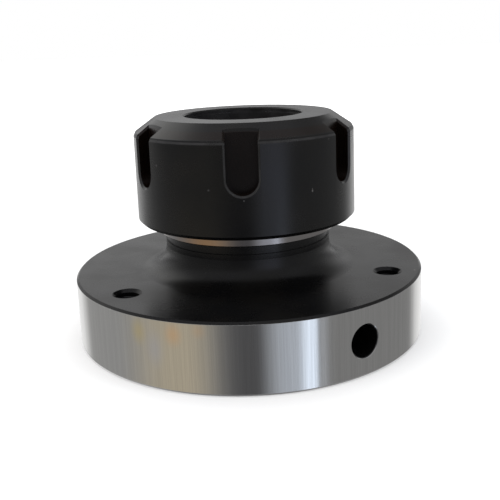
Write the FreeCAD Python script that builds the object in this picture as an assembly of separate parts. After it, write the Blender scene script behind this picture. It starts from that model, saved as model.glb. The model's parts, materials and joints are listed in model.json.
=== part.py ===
import FreeCAD, Part
import math
import os

# Collet chuck holder: a flanged chuck body and its slotted clamping nut.
# Millimetres. Origin at the centre of the flange's back face, spindle axis along +Z.

# ---------------------------------------------------------------- chuck body
FLANGE_D = 80.0
FLANGE_THICKNESS = 15.0
FLANGE_CHAMFER = 0.5

REGISTER_D = 55.0            # back recess that fits over the spindle's spigot
REGISTER_DEPTH = 3.0
EDGE_BREAK = 0.5             # chamfer on the edges of the bores

NECK_D = 38.1
NECK_LENGTH = 1.2            # straight stretch above the flare
FLARE_R = 5.7                # concave sweep from the neck into the flange
RUNOUT_DEPTH = 0.3           # tool run-out groove between the neck and the collar
RUNOUT_WIDTH = 2.1
COLLAR_D = 40.7              # ground collar that the nut comes down on
COLLAR_WIDTH = 2.5
COLLAR_CHAMFER = 0.2

THREAD_D = 40.0              # nose thread, M40 x 1.5
THREAD_PITCH = 1.5
THREAD_CLEARANCE = 0.05      # radial, between the two thread cylinders
NOSE_LENGTH = 12.0           # from the collar's face to the nose's face
NOSE_RELIEF_WIDTH = 2.0
NOSE_RELIEF_DEPTH = 0.9

TAPER_MOUTH_D = 33.0
TAPER_HALF_ANGLE = 8.0
TAPER_LENGTH = 31.0
THROUGH_BORE_D = 23.0

BOLT_CIRCLE_D = 66.0
BOLT_COUNT = 3
BOLT_CLOCKING = -20.0
BOLT_DRILL_D = 5.0           # M6 tapping size
BOLT_COUNTERSINK_D = 6.3

BAR_HOLE_D = 6.8
BAR_HOLE_DEPTH = 12.0
BAR_HOLE_CLOCKING = -54.4
BAR_HOLE_EDGE = 0.25
DRILL_POINT_ANGLE = 118.0

# -------------------------------------------------------------- clamping nut
NUT_D = 50.0
NUT_HEIGHT = 23.5
NUT_FACE_D = 40.5
NUT_TOP_SLOPE = 34.8         # angle between the sloping top and the face
NUT_SHOULDER_CHAMFER = 0.5   # measured along both of its sides
NUT_FOOT_CHAMFER = 0.85

MOUTH_D = 26.9
MOUTH_CHAMFER = 0.3
MOUTH_LAND = 1.1
LIP_THICKNESS = 1.8
LIP_OFFSET = 0.8             # eccentric lip that draws the collet out
LIP_CLOCKING = 65.0
CONE_SMALL_D = 29.5
CONE_HALF_ANGLE = 30.0
CONE_LARGE_D = 34.4
NUT_RELIEF_D = 40.6
NUT_RELIEF_WIDTH = 2.5
NUT_THREAD_LENGTH = 11.0
NUT_THREAD_LEAD_IN = 0.8

SLOT_COUNT = 6
SLOT_CLOCKING = -90.0
SLOT_WIDTH = 6.6
SLOT_DEPTH = 3.1
SLOT_FOOT_HEIGHT = 9.3       # from the nut's underside to the round end of a slot
SLOT_EDGE = 0.45

# ------------------------------------------------------------ derived values
THREAD_PITCH_D = THREAD_D - 0.6495 * THREAD_PITCH
NOSE_R = THREAD_PITCH_D / 2
NUT_THREAD_R = NOSE_R + THREAD_CLEARANCE

NECK_TOP_Z = FLANGE_THICKNESS + FLARE_R + NECK_LENGTH
COLLAR_BOTTOM_Z = NECK_TOP_Z + RUNOUT_WIDTH
COLLAR_TOP_Z = COLLAR_BOTTOM_Z + COLLAR_WIDTH
NOSE_TOP_Z = COLLAR_TOP_Z + NOSE_LENGTH
TAPER_END_Z = NOSE_TOP_Z - TAPER_LENGTH
TAPER_END_R = TAPER_MOUTH_D / 2 - TAPER_LENGTH * math.tan(math.radians(TAPER_HALF_ANGLE))

NUT_BOTTOM_Z = COLLAR_TOP_Z
NUT_TOP_Z = NUT_BOTTOM_Z + NUT_HEIGHT
MOUTH_END_Z = NUT_TOP_Z - MOUTH_LAND
LIP_END_Z = MOUTH_END_Z - LIP_THICKNESS
CONE_RISE = (CONE_LARGE_D - CONE_SMALL_D) / 2
CONE_END_Z = LIP_END_Z - CONE_RISE / math.tan(math.radians(CONE_HALF_ANGLE))
NUT_RELIEF_BOTTOM_Z = NUT_BOTTOM_Z + NUT_THREAD_LENGTH
NUT_RELIEF_TOP_Z = NUT_RELIEF_BOTTOM_Z + NUT_RELIEF_WIDTH
SLOT_FLOOR_R = NUT_D / 2 - SLOT_DEPTH

AXIS = FreeCAD.Vector(0, 0, 1)
TOUCH = 1e-4                 # two shapes closer than this share the point
OVERSHOOT = 5.0              # how far a cutter reaches past the metal


def turned(corners):
    """Revolve a closed (radius, height, round) outline about the Z axis.

    A corner with a round greater than zero gets a tangent arc of that radius,
    revolved as a spline because a revolved circle's face takes far more triangles.
    """
    points = [FreeCAD.Vector(r, 0, z) for r, z, _ in corners]
    edges = []
    starts = []
    ends = []
    arcs = []
    for i, corner in enumerate(corners):
        here = points[i]
        back = points[i - 1] - here
        ahead = points[(i + 1) % len(points)] - here
        back.normalize()
        ahead.normalize()
        radius = corner[2]
        if radius == 0:
            starts.append(here)
            ends.append(here)
            arcs.append(None)
            continue
        half = back.getAngle(ahead) / 2
        reach = radius / math.tan(half)
        bisector = back + ahead
        bisector.normalize()
        middle = here + bisector * (radius / math.sin(half) - radius)
        starts.append(here + back * reach)
        ends.append(here + ahead * reach)
        arcs.append(Part.Arc(starts[-1], middle, ends[-1]).toBSpline().toShape())
    for i, arc in enumerate(arcs):
        if arc:
            edges.append(arc)
        following = starts[(i + 1) % len(starts)]
        if ends[i].distanceToPoint(following) > TOUCH:
            edges.append(Part.LineSegment(ends[i], following).toShape())
    face = Part.Face(Part.Wire(edges))
    return face.revolve(FreeCAD.Vector(0, 0, 0), AXIS, 360)


def sharp(*corners):
    """Outline corners with no rounding."""
    return [(r, z, 0) for r, z in corners]


def around(shape, count, clocking):
    """Copies of a shape made at angle zero, evenly spaced about the Z axis."""
    copies = []
    for i in range(count):
        copy = shape.copy()
        copy.rotate(FreeCAD.Vector(0, 0, 0), AXIS, clocking + i * 360.0 / count)
        copies.append(copy)
    return copies


def edges_on_both(solid, first, second):
    """The solid's edges that lie on the skins of both other shapes."""
    found = []
    for edge in solid.Edges:
        start, end = edge.ParameterRange
        samples = [edge.valueAt(start + (end - start) * share) for share in (0.0, 0.5, 1.0)]
        vertices = [Part.Vertex(point) for point in samples]
        gaps = [v.distToShape(shape)[0] for v in vertices for shape in (first, second)]
        if max(gaps) < TOUCH:
            found.append(edge)
    return found


def skin(solid):
    return Part.Compound(solid.Faces)


def body_blank():
    """The whole turned form of the chuck body: outside, taper socket, bore and register."""
    rim_r = FLANGE_D / 2
    neck_r = NECK_D / 2
    collar_r = COLLAR_D / 2
    register_r = REGISTER_D / 2
    bore_r = THROUGH_BORE_D / 2
    groove_r = neck_r - RUNOUT_DEPTH
    relief_r = NOSE_R - NOSE_RELIEF_DEPTH
    relief_top_z = COLLAR_TOP_Z + NOSE_RELIEF_WIDTH
    nose_chamfer = THREAD_PITCH * 0.8
    outline = sharp(
        (register_r + EDGE_BREAK, 0),
        (rim_r - FLANGE_CHAMFER, 0),
        (rim_r, FLANGE_CHAMFER),
        (rim_r, FLANGE_THICKNESS - FLANGE_CHAMFER),
        (rim_r - FLANGE_CHAMFER, FLANGE_THICKNESS),
    )
    outline.append((neck_r, FLANGE_THICKNESS, FLARE_R))
    outline += sharp(
        (neck_r, NECK_TOP_Z),
        (groove_r, NECK_TOP_Z),
        (groove_r, COLLAR_BOTTOM_Z),
        (collar_r - COLLAR_CHAMFER, COLLAR_BOTTOM_Z),
        (collar_r, COLLAR_BOTTOM_Z + COLLAR_CHAMFER),
        (collar_r, COLLAR_TOP_Z),
        (relief_r, COLLAR_TOP_Z),
        (relief_r, relief_top_z),
        (NOSE_R, relief_top_z + NOSE_RELIEF_DEPTH),
        (NOSE_R, NOSE_TOP_Z - nose_chamfer),
        (NOSE_R - nose_chamfer, NOSE_TOP_Z),
        (TAPER_MOUTH_D / 2, NOSE_TOP_Z),
        (TAPER_END_R, TAPER_END_Z),
        (bore_r, TAPER_END_Z),
        (bore_r, REGISTER_DEPTH + EDGE_BREAK),
        (bore_r + EDGE_BREAK, REGISTER_DEPTH),
        (register_r, REGISTER_DEPTH),
        (register_r, EDGE_BREAK),
    )
    return turned(outline)


def bolt_hole():
    """Cutter for one tapped hole through the flange, countersunk on the front."""
    drill_r = BOLT_DRILL_D / 2
    sink_r = BOLT_COUNTERSINK_D / 2
    sink = sink_r - drill_r
    cutter = turned(sharp(
        (0, -OVERSHOOT),
        (drill_r, -OVERSHOOT),
        (drill_r, FLANGE_THICKNESS - sink),
        (sink_r, FLANGE_THICKNESS),
        (sink_r, FLANGE_THICKNESS + OVERSHOOT),
        (0, FLANGE_THICKNESS + OVERSHOOT),
    ))
    cutter.translate(FreeCAD.Vector(BOLT_CIRCLE_D / 2, 0, 0))
    return cutter


def bar_hole():
    """Cutter for the blind tommy-bar hole in the rim, with its drill point."""
    hole_r = BAR_HOLE_D / 2
    floor = FLANGE_D / 2 - BAR_HOLE_DEPTH
    point = hole_r / math.tan(math.radians(DRILL_POINT_ANGLE / 2))
    cutter = turned(sharp(
        (0, floor - point),
        (hole_r, floor),
        (hole_r, FLANGE_D / 2 + OVERSHOOT),
        (0, FLANGE_D / 2 + OVERSHOOT),
    ))
    cutter.rotate(FreeCAD.Vector(0, 0, 0), FreeCAD.Vector(0, 1, 0), 90)
    cutter.translate(FreeCAD.Vector(0, 0, FLANGE_THICKNESS / 2))
    return cutter


def chuck_body():
    blank = body_blank()
    bolts = around(bolt_hole(), BOLT_COUNT, BOLT_CLOCKING)
    bar = around(bar_hole(), 1, BAR_HOLE_CLOCKING)[0]
    body = blank.cut(bolts + [bar])
    mouth = edges_on_both(body, skin(blank), skin(bar))
    return body.makeChamfer(BAR_HOLE_EDGE, mouth)


def nut_outside():
    """The nut's turned outside as a solid, before anything is bored or milled."""
    slope = math.radians(NUT_TOP_SLOPE)
    shoulder_z = NUT_TOP_Z - (NUT_D - NUT_FACE_D) / 2 * math.tan(slope)
    inward = NUT_SHOULDER_CHAMFER * math.cos(slope)
    upward = NUT_SHOULDER_CHAMFER * math.sin(slope)
    return turned(sharp(
        (0, NUT_BOTTOM_Z),
        (NUT_D / 2 - NUT_FOOT_CHAMFER, NUT_BOTTOM_Z),
        (NUT_D / 2, NUT_BOTTOM_Z + NUT_FOOT_CHAMFER),
        (NUT_D / 2, shoulder_z - NUT_SHOULDER_CHAMFER),
        (NUT_D / 2 - inward, shoulder_z + upward),
        (NUT_FACE_D / 2, NUT_TOP_Z),
        (0, NUT_TOP_Z),
    ))


def nut_bore():
    """Cutter for the mouth, the clamping cone and the thread."""
    mouth_r = MOUTH_D / 2
    relief_r = NUT_RELIEF_D / 2
    shoulder = relief_r - NUT_THREAD_R
    cutter = turned(sharp(
        (0, NUT_BOTTOM_Z - OVERSHOOT),
        (NUT_THREAD_R + NUT_THREAD_LEAD_IN, NUT_BOTTOM_Z - OVERSHOOT),
        (NUT_THREAD_R + NUT_THREAD_LEAD_IN, NUT_BOTTOM_Z),
        (NUT_THREAD_R, NUT_BOTTOM_Z + NUT_THREAD_LEAD_IN),
        (NUT_THREAD_R, NUT_RELIEF_BOTTOM_Z),
        (relief_r, NUT_RELIEF_BOTTOM_Z + shoulder),
        (relief_r, NUT_RELIEF_TOP_Z),
        (CONE_LARGE_D / 2, NUT_RELIEF_TOP_Z),
        (CONE_LARGE_D / 2, CONE_END_Z),
        (CONE_SMALL_D / 2, LIP_END_Z),
        (0, LIP_END_Z),
    ))
    lip = Part.makeCylinder(mouth_r, LIP_THICKNESS, FreeCAD.Vector(-LIP_OFFSET, 0, LIP_END_Z))
    mouth = Part.makeCylinder(mouth_r, MOUTH_LAND + OVERSHOOT, FreeCAD.Vector(0, 0, MOUTH_END_Z))
    return [cutter, around(lip, 1, LIP_CLOCKING)[0], mouth]


def nut_slot():
    """Cutter for one flat-floored wrench slot with a round end, open at the nut's face."""
    half = SLOT_WIDTH / 2
    centre_z = NUT_BOTTOM_Z + SLOT_FOOT_HEIGHT + half
    top_z = NUT_TOP_Z + OVERSHOOT
    low_left = FreeCAD.Vector(SLOT_FLOOR_R, -half, centre_z)
    foot = FreeCAD.Vector(SLOT_FLOOR_R, 0, centre_z - half)
    low_right = FreeCAD.Vector(SLOT_FLOOR_R, half, centre_z)
    top_right = FreeCAD.Vector(SLOT_FLOOR_R, half, top_z)
    top_left = FreeCAD.Vector(SLOT_FLOOR_R, -half, top_z)
    outline = Part.Wire([
        Part.Arc(low_left, foot, low_right).toShape(),
        Part.LineSegment(low_right, top_right).toShape(),
        Part.LineSegment(top_right, top_left).toShape(),
        Part.LineSegment(top_left, low_left).toShape(),
    ])
    return Part.Face(outline).extrude(FreeCAD.Vector(SLOT_DEPTH + OVERSHOOT, 0, 0))


def clamping_nut():
    outside = nut_outside()
    slots = around(nut_slot(), SLOT_COUNT, SLOT_CLOCKING)
    nut = outside.cut(slots)
    slot_rims = edges_on_both(nut, skin(outside), skin(Part.Compound(slots)))
    nut = nut.makeChamfer(SLOT_EDGE, slot_rims)
    nut = nut.cut(nut_bore())
    mouth_edge = [e for e in nut.Edges if is_mouth_edge(e)]
    return nut.makeChamfer(MOUTH_CHAMFER, mouth_edge)


def is_mouth_edge(edge):
    box = edge.BoundBox
    return abs(box.ZMin - NUT_TOP_Z) < TOUCH and abs(box.XLength - MOUTH_D) < TOUCH


PARTS = {
    "chuck_body": chuck_body,
    "clamping_nut": clamping_nut,
}

os.makedirs("parts", exist_ok=True)
for name, make in PARTS.items():
    shape = make()
    solid = shape.Solids[0]
    print(name, "solids", len(shape.Solids), "valid", shape.isValid(), "volume", round(shape.Volume, 1))
    solid.exportStep(f"parts/{name}.step")
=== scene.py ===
# %% [markdown]
# # Collet chuck holder
# A chuck for a lathe spindle, in two steel pieces: a flanged body, turned in one,
# and the slotted nut that closes a collet in its nose. Both come from the CAD model
# at their true size, so this script gives them what CAD leaves out: cut threads,
# finishes, painted highlights, reflections and shade, a floor, light and a camera.

# %% Load the frame
import json
import math

import bmesh
import bpy
from mathutils import Matrix, Vector

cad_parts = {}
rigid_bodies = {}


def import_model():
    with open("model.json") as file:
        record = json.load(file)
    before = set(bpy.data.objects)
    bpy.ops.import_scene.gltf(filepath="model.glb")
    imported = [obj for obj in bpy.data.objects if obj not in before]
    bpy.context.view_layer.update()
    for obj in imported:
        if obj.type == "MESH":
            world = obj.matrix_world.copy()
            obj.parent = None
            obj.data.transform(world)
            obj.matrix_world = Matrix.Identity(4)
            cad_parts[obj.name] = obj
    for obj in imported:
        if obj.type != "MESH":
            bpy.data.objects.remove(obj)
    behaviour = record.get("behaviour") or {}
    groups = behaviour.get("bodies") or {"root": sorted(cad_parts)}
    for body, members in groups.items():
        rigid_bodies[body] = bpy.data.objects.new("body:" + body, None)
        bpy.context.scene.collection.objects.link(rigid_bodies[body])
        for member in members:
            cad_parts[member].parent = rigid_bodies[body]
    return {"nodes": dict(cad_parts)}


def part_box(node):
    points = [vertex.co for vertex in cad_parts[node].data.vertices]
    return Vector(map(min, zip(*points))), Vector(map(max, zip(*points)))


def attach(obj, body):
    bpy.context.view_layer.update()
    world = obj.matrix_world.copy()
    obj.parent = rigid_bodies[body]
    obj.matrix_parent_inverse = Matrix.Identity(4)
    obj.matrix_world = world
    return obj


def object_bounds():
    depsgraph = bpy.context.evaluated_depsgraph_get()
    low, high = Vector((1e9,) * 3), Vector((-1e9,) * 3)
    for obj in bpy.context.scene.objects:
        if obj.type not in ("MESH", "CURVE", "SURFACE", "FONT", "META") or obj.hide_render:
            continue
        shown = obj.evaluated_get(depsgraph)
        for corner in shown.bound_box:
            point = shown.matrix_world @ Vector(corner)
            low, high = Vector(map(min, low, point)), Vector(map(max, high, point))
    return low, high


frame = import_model()
cad_low, cad_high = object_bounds()
MM = 0.001
print("CAD box in mm:", [round(v / MM, 2) for v in (*cad_low, *cad_high)])

# %% [markdown]
# ## Places that the finishes need
# A finish stops where its tool stopped: the rim was ground, the faces beside it
# weren't. The radii and heights below are the model's own, in millimetres, and the
# masks in the materials are built from them.

# %% Places on the two pieces
body = frame["nodes"]["chuck_body"]
nut = frame["nodes"]["clamping_nut"]
nut_low, nut_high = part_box("clamping_nut")

RIM_R = cad_high.x / MM
FLANGE_TOP_Z = 15.0
RIM_CHAMFER = 0.5
COLLAR_R = 20.35
COLLAR_LOW_Z = 24.0
COLLAR_HIGH_Z = nut_low.z / MM
NOSE_TOP_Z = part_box("chuck_body")[1].z / MM
NUT_R = nut_high.x / MM
NUT_TOP_Z = nut_high.z / MM
SHOULDER_Z = 46.2
BOLT_CIRCLE_R = 33.0
BOLT_ANGLES = [math.radians(-20 + 120 * i) for i in range(3)]
print("rim", round(RIM_R, 2), "nose top", round(NOSE_TOP_Z, 2), "nut", round(NUT_R, 2), round(NUT_TOP_Z, 2))

# %% [markdown]
# ## Cut threads
# A lathe cuts a thread by moving a pointed tool along turning work. The same path
# gives the metal that is left: the ridge's section is spun about the axis, and
# climbs one pitch a turn because `dvec` moves each step along the axis. The CAD
# cylinders stand at the pitch diameter, half way up the flanks, so each ridge rises
# from them and the cylinder is the bottom of the valley.

# %% A helical ridge
def screw_ridge(name, section, pitch, turns, steps_per_turn):
    """A closed helical ridge whose section is (radius, height) points in millimetres."""
    mesh = bmesh.new()
    start = mesh.faces.new([mesh.verts.new((r * MM, 0, z * MM)) for r, z in section])
    bmesh.ops.spin(
        mesh,
        geom=[start, *start.edges, *start.verts],
        cent=(0, 0, 0),
        axis=(0, 0, 1),
        dvec=(0, 0, pitch * MM / steps_per_turn),
        angle=math.tau * turns,
        steps=round(turns * steps_per_turn),
    )
    bmesh.ops.recalc_face_normals(mesh, faces=mesh.faces)
    for face in mesh.faces:
        face.smooth = True
    for edge in mesh.edges:
        edge.smooth = edge.calc_face_angle(0) < math.radians(25)
    data = bpy.data.meshes.new(name)
    mesh.to_mesh(data)
    mesh.free()
    ridge = bpy.data.objects.new(name, data)
    bpy.context.scene.collection.objects.link(ridge)
    print(name, len(data.polygons), "faces")
    return ridge


# %% [markdown]
# ### The nose thread, M40 x 1.5
# At the pitch diameter a ridge is half a pitch wide, and its flanks lean 30 degrees
# in to a narrow flat crest. The nut's ridge is its mirror image, set half a pitch
# up, so each one lies in the other's valley, screwed home or raised by whole turns.

# %% Nose thread and nut thread
PITCH = 1.5
PITCH_R = 20.0 - 0.32476 * PITCH
NOSE_CREST_R = 20.0
NUT_CREST_R = 20.0 - 0.5413 * PITCH
ROOTED = 0.3
FLANK = math.tan(math.radians(30))
BACKLASH = 0.04
THREAD_START_Z = 29.6


def ridge_section(root_r, pitch_r, crest_r, middle_z):
    """A ridge's four corners, wide at its root and narrow at its crest."""
    crest = PITCH / 4 - abs(crest_r - pitch_r) * FLANK - BACKLASH
    root = PITCH / 4 + abs(root_r - pitch_r) * FLANK - BACKLASH
    lower = [(root_r, middle_z - root), (crest_r, middle_z - crest)]
    upper = [(crest_r, middle_z + crest), (root_r, middle_z + root)]
    return lower + upper


nose_section = ridge_section(PITCH_R - ROOTED, PITCH_R, NOSE_CREST_R, THREAD_START_Z)
nose_thread = screw_ridge("nose_thread", nose_section, PITCH, 4.8, 96)
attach(nose_thread, "holder")

nut_section = ridge_section(PITCH_R + ROOTED, PITCH_R + 0.05, NUT_CREST_R, THREAD_START_Z - 1.5 * PITCH)
nut_thread = screw_ridge("nut_thread", nut_section, PITCH, 6.0, 96)
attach(nut_thread, "nut")

# %% [markdown]
# ### The tapped holes, M6
# Three screws hold the chuck on its spindle flange. CAD has the holes at tapping
# size, so here each gets the ridge that a tap leaves on its wall. Each ridge is made
# about the axis and moved to its hole inside its mesh.

# %% Threads in the bolt holes
TAP_PITCH = 1.0
TAP_R = 2.5
tap_section = [(TAP_R + 0.15, 0.6), (TAP_R - 0.22, 0.95), (TAP_R - 0.22, 1.02), (TAP_R + 0.15, 1.37)]
for number, angle in enumerate(BOLT_ANGLES, start=1):
    thread = screw_ridge(f"bolt_hole_thread_{number}", tap_section, TAP_PITCH, 12.6, 32)
    place = Vector((math.cos(angle), math.sin(angle), 0)) * BOLT_CIRCLE_R * MM
    thread.data.transform(Matrix.Translation(place))
    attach(thread, "holder")

# %% [markdown]
# ## Finishes
# Black oxide turns the skin of steel into a thin black film, and grinding after it
# brings the bare metal back. So one material holds both, and masks made from radius
# and height say which shows. Small node groups carry the effects that both pieces
# share, and every pattern reads Object coordinates, so it stays put when the nut
# turns or the model is exported.

# %% Node helpers
def new_group(name, inputs, outputs):
    """An empty shader node group with float or colour sockets."""
    group = bpy.data.node_groups.new(name, "ShaderNodeTree")
    for label, kind, value in inputs:
        socket = group.interface.new_socket(label, in_out="INPUT", socket_type=kind)
        socket.default_value = value
    for label, kind in outputs:
        group.interface.new_socket(label, in_out="OUTPUT", socket_type=kind)
    return group, group.nodes.new("NodeGroupInput"), group.nodes.new("NodeGroupOutput")


def put(tree, socket, value):
    """Set an input socket, or link it when the value is an output socket."""
    if isinstance(value, bpy.types.NodeSocket):
        tree.links.new(value, socket)
    elif value is not None:
        socket.default_value = value


def calc(tree, operation, a, b=None, c=None):
    """The output of a Math node."""
    node = tree.nodes.new("ShaderNodeMath")
    node.operation = operation
    for socket, value in zip(node.inputs, (a, b, c)):
        put(tree, socket, value)
    return node.outputs[0]


def remap(tree, value, low, high, to_low=0.0, to_high=1.0):
    """Ease a value from one range to another, and hold it at both ends."""
    node = tree.nodes.new("ShaderNodeMapRange")
    node.interpolation_type = "SMOOTHSTEP"
    put(tree, node.inputs["Value"], value)
    put(tree, node.inputs["From Min"], low)
    put(tree, node.inputs["From Max"], high)
    put(tree, node.inputs["To Min"], to_low)
    put(tree, node.inputs["To Max"], to_high)
    return node.outputs[0]


def mix_colour(tree, share, a, b):
    """Colour a where the share is 0, colour b where it is 1."""
    node = tree.nodes.new("ShaderNodeMix")
    node.data_type = "RGBA"
    put(tree, node.inputs["Factor"], share)
    put(tree, node.inputs["A"], a)
    put(tree, node.inputs["B"], b)
    return node.outputs["Result"]


def mix_value(tree, share, a, b):
    """Number a where the share is 0, number b where it is 1."""
    node = tree.nodes.new("ShaderNodeMix")
    put(tree, node.inputs["Factor"], share)
    put(tree, node.inputs["A"], a)
    put(tree, node.inputs["B"], b)
    return node.outputs["Result"]


def noise(tree, vector, scale, detail=2.0, roughness=0.5):
    """Noise between 0 and 1, mostly near 0.5."""
    node = tree.nodes.new("ShaderNodeTexNoise")
    put(tree, node.inputs["Vector"], vector)
    put(tree, node.inputs["Scale"], scale)
    put(tree, node.inputs["Detail"], detail)
    put(tree, node.inputs["Roughness"], roughness)
    return node.outputs["Fac"]


def use(tree, group, **values):
    """Place a group in a tree, set its inputs by name, and give its outputs."""
    node = tree.nodes.new("ShaderNodeGroup")
    node.node_tree = group
    for label, value in values.items():
        put(tree, node.inputs[label.replace("_", " ")], value)
    return node.outputs


# %% [markdown]
# ### Marks at one place
# A painted glint or a painted patch of warm reflection sits at one spot. On a round
# piece it is handiest to say where by bearing from the front, distance from the axis
# and height. The mask is 1 there and fades out; `tall` stretches it up and down.

# %% A mask round one spot
def spot(tree, point, bearing, radius, height, size, tall=1.0):
    """1 at a place on the piece, fading to 0 at `size` millimetres from it."""
    angle = math.radians(bearing)
    place = (radius * math.sin(angle), -radius * math.cos(angle), height)
    steps = (("SUBTRACT", place), ("MULTIPLY", (1, 1, 1 / tall)))
    value = point
    for operation, amount in steps:
        node = tree.nodes.new("ShaderNodeVectorMath")
        node.operation = operation
        put(tree, node.inputs[0], value)
        node.inputs[1].default_value = amount
        value = node.outputs[0]
    distance = tree.nodes.new("ShaderNodeVectorMath")
    distance.operation = "LENGTH"
    put(tree, distance.inputs[0], value)
    return remap(tree, distance.outputs["Value"], 0.0, size, 1.0, 0.0)


# %% [markdown]
# ### Where on the turned piece
# A turned piece is easiest to describe in its own terms: how far from the axis, how
# high, and how far round. The group works these out once, in millimetres, and also
# gives a vector whose first part runs round the piece. Noise read along it stretches
# into the grain that a grinding wheel leaves.

# %% Group: turned place
GRAIN_PER_MM = 0.0004
place_group, _, place_out = new_group(
    "Turned place",
    [],
    [("Radius", "NodeSocketFloat"), ("Height", "NodeSocketFloat"), ("Point", "NodeSocketVector"),
     ("Round", "NodeSocketVector")],
)
coords = place_group.nodes.new("ShaderNodeTexCoord")
in_mm = place_group.nodes.new("ShaderNodeVectorMath")
in_mm.operation = "SCALE"
in_mm.inputs["Scale"].default_value = 1 / MM
place_group.links.new(coords.outputs["Object"], in_mm.inputs[0])
parts = place_group.nodes.new("ShaderNodeSeparateXYZ")
place_group.links.new(in_mm.outputs[0], parts.inputs[0])
x_squared = calc(place_group, "MULTIPLY", parts.outputs["X"], parts.outputs["X"])
both_squared = calc(place_group, "MULTIPLY_ADD", parts.outputs["Y"], parts.outputs["Y"], x_squared)
radius = calc(place_group, "SQRT", both_squared)
flat = place_group.nodes.new("ShaderNodeCombineXYZ")
put(place_group, flat.inputs["X"], calc(place_group, "DIVIDE", parts.outputs["X"], radius))
put(place_group, flat.inputs["Y"], calc(place_group, "DIVIDE", parts.outputs["Y"], radius))
put(place_group, flat.inputs["Z"], calc(place_group, "MULTIPLY", parts.outputs["Z"], GRAIN_PER_MM))
put(place_group, place_out.inputs["Radius"], radius)
put(place_group, place_out.inputs["Height"], parts.outputs["Z"])
put(place_group, place_out.inputs["Point"], in_mm.outputs[0])
put(place_group, place_out.inputs["Round"], flat.outputs[0])

# %% [markdown]
# ### A band between two limits
# The ground surfaces are bands in radius or height. This group gives 1 inside a band
# and 0 outside, with a narrow soft edge like the one a wheel leaves.

# %% Group: band
band_group, band_in, band_out = new_group(
    "Band",
    [("Value", "NodeSocketFloat", 0.0), ("Low", "NodeSocketFloat", 0.0), ("High", "NodeSocketFloat", 1.0),
     ("Edge", "NodeSocketFloat", 0.05)],
    [("Mask", "NodeSocketFloat")],
)
given = band_in.outputs


def limit(label, from_value, to_value):
    """A soft step at one limit of the band."""
    start = calc(band_group, "SUBTRACT", given[label], given["Edge"])
    done = calc(band_group, "ADD", given[label], given["Edge"])
    return remap(band_group, given["Value"], start, done, from_value, to_value)


rises = limit("Low", 0.0, 1.0)
falls = limit("High", 1.0, 0.0)
put(band_group, band_out.inputs["Mask"], calc(band_group, "MULTIPLY", rises, falls))

# %% [markdown]
# ### Black film
# The film isn't evenly black. It is a little browner where it is thin, handling
# leaves faint greasy clouds, and dust leaves a few pale specks. Grey is painted on
# unevenly as a highlight where a material asks for it. The group gives a colour, a
# roughness and a height that materials pass on to their shader.

# %% Group: black film
THICK_FILM = (0.0030, 0.0030, 0.0033, 1)
THIN_FILM = (0.0048, 0.0044, 0.0040, 1)
# The next grey is painted highlight, laid on the nut's edges and at its glint spots.
HIGHLIGHT_GREY = (0.050, 0.049, 0.050, 1)
DUST = (0.11, 0.105, 0.10, 1)
TURNING_FEED = 0.22
film_group, film_in, film_out = new_group(
    "Black film",
    [("Point", "NodeSocketVector", (0, 0, 0)), ("Radius", "NodeSocketFloat", 0.0),
     ("Height", "NodeSocketFloat", 0.0), ("Rubbed", "NodeSocketFloat", 0.0),
     ("Roughness", "NodeSocketFloat", 0.26)],
    [("Color", "NodeSocketColor"), ("Roughness", "NodeSocketFloat"), ("Relief", "NodeSocketFloat")],
)
film_given = film_in.outputs
clouds = noise(film_group, film_given["Point"], 0.09, 3.0)
fine = noise(film_group, film_given["Point"], 3.2, 3.0, 0.6)
specks = remap(film_group, noise(film_group, film_given["Point"], 0.75, 1.0), 0.80, 0.83)
thin = remap(film_group, clouds, 0.35, 0.7)
film_colour = mix_colour(film_group, thin, THICK_FILM, THIN_FILM)
# Painted highlight: the grey is laid unevenly along the edges.
uneven = remap(film_group, noise(film_group, film_given["Point"], 0.35, 3.0), 0.25, 0.75, 0.45, 1.0)
highlight_share = calc(film_group, "MULTIPLY", film_given["Rubbed"], uneven)
film_colour = mix_colour(film_group, highlight_share, film_colour, HIGHLIGHT_GREY)
film_colour = mix_colour(film_group, specks, film_colour, DUST)
put(film_group, film_out.inputs["Color"], film_colour)
cloudy = remap(film_group, clouds, 0.3, 0.75, -0.03, 0.05)
grainy = remap(film_group, fine, 0.3, 0.7, -0.012, 0.012)
variation = calc(film_group, "ADD", cloudy, grainy)
put(film_group, film_out.inputs["Roughness"], calc(film_group, "ADD", film_given["Roughness"], variation))
feed = calc(film_group, "ADD", film_given["Radius"], film_given["Height"])
tool_lines = calc(film_group, "SINE", calc(film_group, "MULTIPLY", feed, math.tau / TURNING_FEED))
put(film_group, film_out.inputs["Relief"], calc(film_group, "MULTIPLY_ADD", tool_lines, 0.12, fine))

# %% [markdown]
# ### Ground steel
# A wheel leaves fine scratches that run along the axis here, because the work turned
# slowly under it. They are long and straight, so the noise is read almost only by
# bearing. Near the top of the rim, on its left, warm light is painted in as reflection:
# straw, a breath of blue, and brown. The ground steel above 17 mm, the collar's height,
# is rougher, painted darker as the nut's shade, and browner on its left as painted warm
# reflection.

# %% Group: ground steel
DARK_STEEL = (0.520, 0.516, 0.508, 1)
LIGHT_STEEL = (0.575, 0.571, 0.562, 1)
STREAK = (0.44, 0.437, 0.43, 1)
# Straw, blue and brown: tints of a painted warm reflection on the rim's left.
STRAW_REFLECTION = (0.62, 0.55, 0.36, 1)
BLUE_REFLECTION = (0.50, 0.53, 0.63, 1)
BROWN_REFLECTION = (0.66, 0.50, 0.37, 1)
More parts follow.
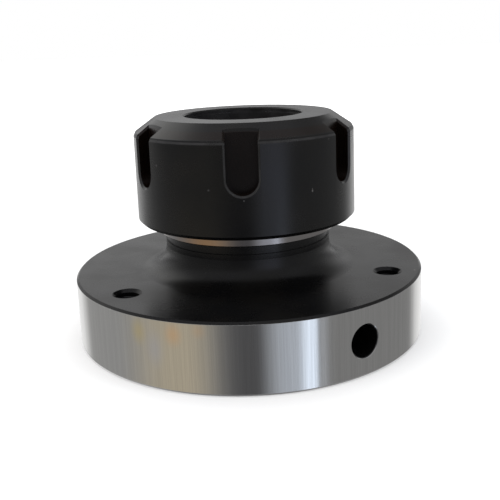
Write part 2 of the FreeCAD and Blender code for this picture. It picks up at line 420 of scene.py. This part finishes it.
# Painted shade for the collar under the nut, browner on its left as painted warm reflection.
COLLAR_SHADE = (0.30, 0.285, 0.28, 1)
COLLAR_SHADE_WARM_REFLECTION = (0.40, 0.27, 0.18, 1)
ground_group, ground_in, ground_out = new_group(
    "Ground steel",
    [("Round", "NodeSocketVector", (0, 0, 0)), ("Point", "NodeSocketVector", (0, 0, 0)),
     ("Height", "NodeSocketFloat", 0.0)],
    [("Color", "NodeSocketColor"), ("Roughness", "NodeSocketFloat"), ("Relief", "NodeSocketFloat")],
)
ground_given = ground_in.outputs
wide_bands = noise(ground_group, ground_given["Round"], 11.0, 2.0)
streaks = noise(ground_group, ground_given["Round"], 55.0, 2.0, 0.6)
scratches = noise(ground_group, ground_given["Round"], 210.0, 2.0, 0.6)
scratched = remap(ground_group, scratches, 0.25, 0.75)
steel_colour = mix_colour(ground_group, scratched, DARK_STEEL, LIGHT_STEEL)
streaked = remap(ground_group, streaks, 0.3, 0.75, 0.0, 0.35)
steel_colour = mix_colour(ground_group, streaked, steel_colour, STREAK)
# Painted warm reflection: tinted patches near the top of the rim, on its left.
for tint, strength, *where_and_size in (
    (STRAW_REFLECTION, 0.75, -32.0, RIM_R, 11.6, 2.6, 1.5),
    (BLUE_REFLECTION, 0.80, -26.5, RIM_R, 8.5, 2.8, 1.9),
    (BROWN_REFLECTION, 0.75, -20.5, RIM_R, 12.0, 2.6, 1.3),
    (BROWN_REFLECTION, 0.40, -13.0, RIM_R, 13.2, 2.2, 1.0),
):
    place = spot(ground_group, ground_given["Point"], *where_and_size)
    reflection_share = calc(ground_group, "MULTIPLY", place, strength)
    steel_colour = mix_colour(ground_group, reflection_share, steel_colour, tint)
# Painted shade above 17 mm, under the nut, and painted warm reflection on the collar's left.
on_collar = remap(ground_group, ground_given["Height"], 16.0, 17.0)
warm_reflection_side = spot(ground_group, ground_given["Point"], -26.0, COLLAR_R, 25.0, 9.5)
shaded_collar_colour = mix_colour(ground_group, warm_reflection_side, COLLAR_SHADE, COLLAR_SHADE_WARM_REFLECTION)
steel_colour = mix_colour(ground_group, on_collar, steel_colour, shaded_collar_colour)
put(ground_group, ground_out.inputs["Color"], steel_colour)
even = remap(ground_group, wide_bands, 0.3, 0.7, 0.11, 0.15)
rough = calc(ground_group, "ADD", even, remap(ground_group, streaks, 0.3, 0.7, -0.015, 0.02))
put(ground_group, ground_out.inputs["Roughness"], calc(ground_group, "MULTIPLY_ADD", on_collar, 0.06, rough))
put(ground_group, ground_out.inputs["Relief"], scratches)

# %% [markdown]
# ### Putting the finishes on
# One function lays the film over a piece and cuts the ground bands out of it. The
# shader and its bump stay in the material itself. Only surfaces that a tool really
# ground are bare: the rim and the collar on the body, and the taper that holds the
# collet. On the nut it also paints grey highlights on the slot rims, the shoulder and
# the mouth, pale glints at listed spots, and brown shade inside the slots.

# %% The steel materials
FILM_IOR = 1.40
# Share of painted highlight grey on the nut's edges.
HIGHLIGHT_SHARE = 0.55
# Strength of the painted glints, small pale spots.
GLINT_STRENGTH = 3.0
# Painted shade: a dark brown inside the nut's slots.
SLOT_SHADE_BROWN = (0.0042, 0.0020, 0.0011, 1)


def bands_mask(tree, where, bands):
    """1 inside any of the bands, each ((low r, high r), (low z, high z)) in millimetres."""
    mask = 0.0
    for (r_low, r_high), (z_low, z_high) in bands:
        across = use(tree, band_group, Value=where["Radius"], Low=r_low, High=r_high, Edge=0.04)["Mask"]
        along = use(tree, band_group, Value=where["Height"], Low=z_low, High=z_high, Edge=0.04)["Mask"]
        mask = calc(tree, "MAXIMUM", mask, calc(tree, "MULTIPLY", across, along))
    return mask


def steel_material(name, film_roughness, ground_bands, highlight_bands, glint_spots, shaded_bands=()):
    """Black steel: bare where it was ground, grey at painted highlights and glints, brown at painted shade.
    """
    material = bpy.data.materials.new(name)
    material.use_nodes = True
    tree = material.node_tree
    shader = tree.nodes["Principled BSDF"]
    shader.inputs["IOR"].default_value = FILM_IOR
    where = use(tree, place_group)
    # Painted highlight: grey on the listed bands.
    painted_highlight = calc(tree, "MULTIPLY", bands_mask(tree, where, highlight_bands), HIGHLIGHT_SHARE)
    # Painted glints: pale spots at the listed places, added to the highlight grey.
    for bearing, radius, height, size in glint_spots:
        glint = spot(tree, where["Point"], bearing, radius, height, size)
        painted_highlight = calc(tree, "ADD", painted_highlight, calc(tree, "MULTIPLY", glint, GLINT_STRENGTH))
    film = use(
        tree, film_group, Point=where["Point"], Radius=where["Radius"], Height=where["Height"],
        Rubbed=painted_highlight, Roughness=film_roughness,
    )
    film_colour = film["Color"]
    # Painted shade: dark brown inside the slots.
    if shaded_bands:
        film_colour = mix_colour(tree, bands_mask(tree, where, shaded_bands), film_colour, SLOT_SHADE_BROWN)
    ground = use(tree, ground_group, Round=where["Round"], Point=where["Point"], Height=where["Height"])
    bare = bands_mask(tree, where, ground_bands)
    put(tree, shader.inputs["Base Color"], mix_colour(tree, bare, film_colour, ground["Color"]))
    put(tree, shader.inputs["Roughness"], mix_value(tree, bare, film["Roughness"], ground["Roughness"]))
    put(tree, shader.inputs["Metallic"], bare)
    bump = tree.nodes.new("ShaderNodeBump")
    bump.inputs["Strength"].default_value = 0.05
    bump.inputs["Distance"].default_value = 0.00003
    put(tree, bump.inputs["Height"], mix_value(tree, bare, film["Relief"], ground["Relief"]))
    put(tree, shader.inputs["Normal"], bump.outputs["Normal"])
    return material


def dress(piece, material):
    piece.data.materials.clear()
    piece.data.materials.append(material)


rim_band = ((RIM_R - 0.10, RIM_R + 1), (RIM_CHAMFER - 0.02, FLANGE_TOP_Z - RIM_CHAMFER + 0.02))
collar_band = ((COLLAR_R - 0.12, COLLAR_R + 1), (COLLAR_LOW_Z + 0.1, COLLAR_HIGH_Z + 0.1))
socket_band = ((12.1, 16.6), (7.6, NOSE_TOP_Z - 0.02))
body_steel = steel_material("chuck body steel", 0.27, [rim_band, collar_band, socket_band], [], [])
# The slot rims, the shoulder and the mouth get painted highlight; the slot insides get painted shade.
slot_rim = ((NUT_R - 0.42, NUT_R - 0.05), (34.0, 46.0))
shoulder = ((NUT_R - 0.62, NUT_R - 0.02), (SHOULDER_Z - 0.15, SHOULDER_Z + 0.45))
mouth_wall = ((12.5, 15.5), (46.0, NUT_TOP_Z - 0.3))
slot_inside = ((20.5, NUT_R - 0.6), (34.0, NUT_TOP_Z - 1.5))
# each painted glint is (bearing in degrees, radius, height, size)
NUT_GLINTS = (
    (-46.0, NUT_R, 41.4, 0.28),
    (-16.0, NUT_R, 37.1, 0.26),
    (0.4, NUT_R, 34.9, 0.24),
    (63.8, NUT_R, 38.7, 0.30),
)
nut_highlight_bands = [slot_rim, shoulder, mouth_wall]
nut_steel = steel_material("clamping nut steel", 0.24, [], nut_highlight_bands, NUT_GLINTS, [slot_inside])
for slot in body.material_slots:
    slot.material = body_steel
for slot in nut.material_slots:
    slot.material = nut_steel
dress(nose_thread, body_steel)
dress(nut_thread, nut_steel)
for piece in bpy.data.objects:
    if piece.name.startswith("bolt_hole_thread"):
        dress(piece, body_steel)
print("materials:", [m.name for m in bpy.data.materials])

# %% [markdown]
# ## The room that the metal shows
# Polished metal has little colour of its own. It shows the room: a white sweep behind
# the work, a window to the right of the lens, dim walls, a warm bench top lower down,
# and darkness round the lens itself. Each is a patch that rises and falls between
# compass bearings, laid over a plain tone, in three layers: what lies below the
# horizon, the walls, and higher up. The height of the look chooses between them.

# %% Group: the room by bearing
room_group, room_in, room_out = new_group(
    "Room",
    [("Vector", "NodeSocketVector", (0, 0, 0))],
    [("Color", "NodeSocketColor"), ("Behind", "NodeSocketFloat")],
)
aim = room_group.nodes.new("ShaderNodeSeparateXYZ")
put(room_group, aim.inputs[0], room_in.outputs["Vector"])
height = aim.outputs["Z"]
front = calc(room_group, "MULTIPLY", aim.outputs["Y"], -1.0)
bearing = calc(room_group, "MULTIPLY", calc(room_group, "ARCTAN2", aim.outputs["X"], front), 180 / math.pi)


def between(rise, fall):
    """1 between two bearings, each given as (where it starts, where it is done) in degrees."""
    rising = remap(room_group, bearing, *rise)
    falling = remap(room_group, bearing, *fall, 1.0, 0.0)
    return calc(room_group, "MULTIPLY", rising, falling)


def beyond(left, right):
    """1 behind the work: past the left limits and past the right ones, in degrees."""
    past_left = remap(room_group, bearing, *left, 1.0, 0.0)
    past_right = remap(room_group, bearing, *right)
    return calc(room_group, "ADD", past_left, past_right)


def layer(left_tone, right_tone, patches):
    """One layer of the room: two plain tones and the patches laid over them."""
    colour = mix_colour(room_group, remap(room_group, bearing, -30, 30), left_tone, right_tone)
    for mask, patch in patches:
        colour = mix_colour(room_group, mask, colour, patch)
    return colour


WHITE = (1.0, 1.0, 1.0, 1)
FAR_EDGE_GREY = (0.33, 0.33, 0.335, 1)
CEILING = (0.46, 0.46, 0.48, 1)
below = layer((0.44, 0.44, 0.435, 1), (0.315, 0.315, 0.315, 1), [
    (between((-95, -50), (-42, -6)), (0.63, 0.56, 0.43, 1)),
    (between((-36, -3), (4, 22)), (0.12, 0.12, 0.125, 1)),
    (between((4, 24), (41, 45)), (0.64, 0.69, 0.77, 1)),
    (between((31, 36.5), (42.4, 43.6)), (1.45, 1.62, 1.88, 1)),
    (between((46, 47.5), (48.5, 50)), (0.62, 0.64, 0.68, 1)),
    (beyond((-150, -125), (125, 150)), WHITE),
])
walls = layer((0.31, 0.31, 0.31, 1), (0.37, 0.37, 0.37, 1), [
    (between((-40, -12), (2, 16)), (0.19, 0.19, 0.20, 1)),
    (between((4, 26), (36, 52)), (0.84, 0.88, 1.05, 1)),
    (beyond((-150, -80), (100, 165)), (0.80, 0.80, 0.80, 1)),
    (beyond((-200, -190), (140, 172)), (0.66, 0.66, 0.66, 1)),
])
higher = layer((0.46, 0.46, 0.48, 1), (0.42, 0.42, 0.43, 1), [
    (between((-175, -150), (-135, -80)), (1.15, 1.15, 1.13, 1)),
    (between((70, 130), (150, 178)), (0.22, 0.22, 0.22, 1)),
])
room_colour = mix_colour(room_group, remap(room_group, height, -0.27, -0.235), below, walls)
back = beyond((-120, -95), (95, 120))
above_horizon = remap(room_group, height, -0.04, 0.02)
under_the_walls = remap(room_group, height, 0.10, 0.18, 1.0, 0.0)
far_edge = calc(room_group, "MULTIPLY", above_horizon, under_the_walls)
far_and_low = calc(room_group, "MULTIPLY", back, far_edge)
room_colour = mix_colour(room_group, far_and_low, room_colour, FAR_EDGE_GREY)
room_colour = mix_colour(room_group, remap(room_group, height, 0.36, 0.50), room_colour, higher)
room_colour = mix_colour(room_group, remap(room_group, height, 0.72, 0.92), room_colour, CEILING)
put(room_group, room_out.inputs["Color"], room_colour)
low_down = remap(room_group, height, -0.10, -0.04, 1.0, 0.0)
behind = calc(room_group, "MULTIPLY", beyond((-150, -125), (125, 150)), low_down)
put(room_group, room_out.inputs["Behind"], behind)

# %% [markdown]
# ### The world
# The lens sees plain white. So do glossy and transmitted rays that pass low behind
# the work, where they would meet the white sheet, so the metal's far edges show the
# same white as the background. All other rays see the room.

# %% World
world = bpy.data.worlds.new("bench room")
bpy.context.scene.world = world
world.use_nodes = True
sky = world.node_tree
direction = sky.nodes.new("ShaderNodeTexCoord").outputs["Generated"]
rays = sky.nodes.new("ShaderNodeLightPath").outputs
room = use(sky, room_group, Vector=direction)
mirrored = calc(sky, "MAXIMUM", rays["Is Glossy Ray"], rays["Is Transmission Ray"])
white_share = calc(sky, "MAXIMUM", rays["Is Camera Ray"], calc(sky, "MULTIPLY", mirrored, room["Behind"]))
put(sky, sky.nodes["Background"].inputs["Color"], mix_colour(sky, white_share, room["Color"], WHITE))

# %% [markdown]
# ## Floor
# A plain pale sheet under the work. It is a lit diffuse surface, so the shadow falls
# on it, and the lens sees some white added, until the bare sheet matches the white
# behind it. Further out the lamps fade, so more white is added there. Mirrored rays
# pass through the sheet and meet the world, which has the room below the horizon too.

# %% Floor and its material
sheet = bmesh.new()
bmesh.ops.create_grid(sheet, x_segments=1, y_segments=1, size=3.0)
bmesh.ops.translate(sheet, verts=sheet.verts, vec=(0, 0, -0.00002))
floor_mesh = bpy.data.meshes.new("floor")
sheet.to_mesh(floor_mesh)
sheet.free()
floor = bpy.data.objects.new("floor", floor_mesh)
floor.visible_glossy = False
bpy.context.scene.collection.objects.link(floor)

pale = bpy.data.materials.new("pale sheet")
pale.use_nodes = True
tree = pale.node_tree
shader = tree.nodes["Principled BSDF"]
shader.inputs["Base Color"].default_value = (0.60, 0.60, 0.60, 1)
shader.inputs["Roughness"].default_value = 0.9
shader.inputs["Specular IOR Level"].default_value = 0.0
spot = tree.nodes.new("ShaderNodeTexCoord").outputs["Object"]
away = tree.nodes.new("ShaderNodeVectorMath")
away.operation = "LENGTH"
put(tree, away.inputs[0], spot)
added = remap(tree, away.outputs["Value"], 0.10, 0.45, 0.42, 1.0)
rays = tree.nodes.new("ShaderNodeLightPath").outputs
lens_ray = calc(tree, "MAXIMUM", rays["Is Camera Ray"], rays["Is Transmission Ray"])
glow = tree.nodes.new("ShaderNodeEmission")
put(tree, glow.inputs["Strength"], calc(tree, "MULTIPLY", lens_ray, added))
lit = tree.nodes.new("ShaderNodeAddShader")
put(tree, lit.inputs[0], shader.outputs[0])
put(tree, lit.inputs[1], glow.outputs[0])
put(tree, tree.nodes["Material Output"].inputs["Surface"], lit.outputs[0])
floor.data.materials.append(pale)

# %% [markdown]
# ## Lamps
# Large soft lamps carry the light that falls on the work: one high on the left, a
# weaker cool one on the right and a wide one overhead. Their size keeps the shadow
# soft. Reflections don't see them, because the room already fills the metal.

# %% Lamps
def soft_lamp(name, place, size, power, colour):
    lamp = bpy.data.lights.new(name, "AREA")
    lamp.shape = "RECTANGLE"
    lamp.size, lamp.size_y = size
    lamp.energy = power
    lamp.color = colour
    holder = bpy.data.objects.new(name, lamp)
    holder.location = place
    aim_at = Vector((0, 0, 0.025)) - Vector(place)
    holder.rotation_euler = aim_at.to_track_quat("-Z", "Y").to_euler()
    holder.visible_glossy = False
    bpy.context.scene.collection.objects.link(holder)
    return holder


soft_lamp("overhead lamp", (0.0, 0.15, 1.1), (1.2, 1.2), 9.0, (1, 1, 1))
soft_lamp("left lamp", (-0.75, -0.45, 0.65), (0.5, 0.5), 3.0, (1, 0.96, 0.90))
soft_lamp("right lamp", (0.80, -0.35, 0.55), (0.3, 0.6), 2.0, (0.90, 0.95, 1))

# %% [markdown]
# ## Camera
# The lens looks down at the chuck from a little above the nut, close enough for the
# flange to show its near edge wider than its far one. The camera was tipped slightly,
# and a small upward shift keeps the walls from leaning.

# %% Camera
VIEW_BEARING = math.radians(1.5)
DISTANCE = 0.17190
EYE_HEIGHT = 0.06688
LOOK_DOWN = math.radians(12.22)
LOOK_ASIDE = math.radians(0.286)
TIP = math.radians(-2.148)
PICTURE_WIDTH = 500
FOCAL = 753.2

level_part = math.cos(LOOK_DOWN)
forward = Vector((math.sin(LOOK_ASIDE) * level_part, math.cos(LOOK_ASIDE) * level_part, -math.sin(LOOK_DOWN)))
level = forward.cross(Vector((0, 0, 1))).normalized()
upright = level.cross(forward)
right = math.cos(TIP) * level + math.sin(TIP) * upright
up = math.cos(TIP) * upright - math.sin(TIP) * level
pose = Matrix((right, up, -forward)).transposed().to_4x4()
pose.translation = Vector((0, -DISTANCE, EYE_HEIGHT))

lens = bpy.data.cameras.new("bench camera")
lens.sensor_width = 36
lens.lens = FOCAL * lens.sensor_width / PICTURE_WIDTH
lens.shift_y = -0.10
lens.clip_start = 0.01
camera = bpy.data.objects.new("bench camera", lens)
camera.matrix_world = Matrix.Rotation(VIEW_BEARING, 4, "Z") @ pose
bpy.context.scene.collection.objects.link(camera)
bpy.context.scene.camera = camera
bpy.context.scene.view_settings.view_transform = "Standard"
print("lens", round(lens.lens, 1), "mm")
